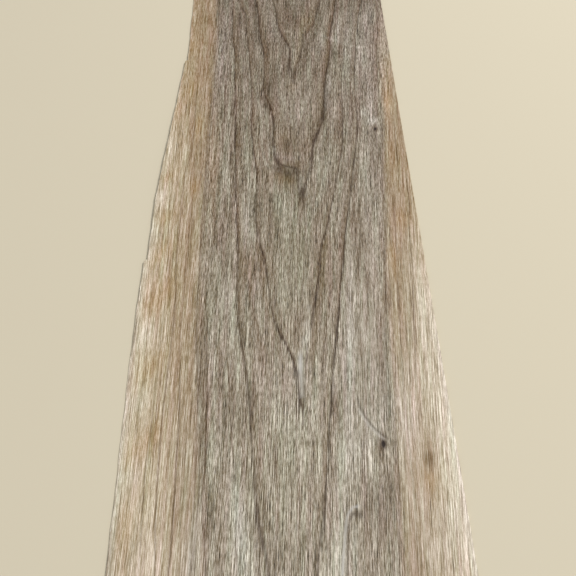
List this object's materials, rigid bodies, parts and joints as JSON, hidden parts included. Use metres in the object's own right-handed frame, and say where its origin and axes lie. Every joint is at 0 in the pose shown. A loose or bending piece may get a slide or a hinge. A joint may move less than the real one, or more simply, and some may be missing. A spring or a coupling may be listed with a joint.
{
  "type": "wood veneer sheet",
  "caption": "Raw sheet of flat-cut walnut veneer with one waney edge and one straight clipped edge, for gluing over panels and furniture.",
  "frame": {"origin": "under the middle of the sheet, on the plane that it lies on", "axes": "+Y along the grain, +X across it towards the straight clipped edge, +Z out of the show face"},
  "size_m": [0.171, 0.914, 0.0024],
  "materials": {
    "walnut_veneer": "raw sliced walnut, unsanded and unfinished"
  },
  "bodies": {
    "root": {"veneer_sheet": "walnut_veneer"}
  },
  "joints": []
}
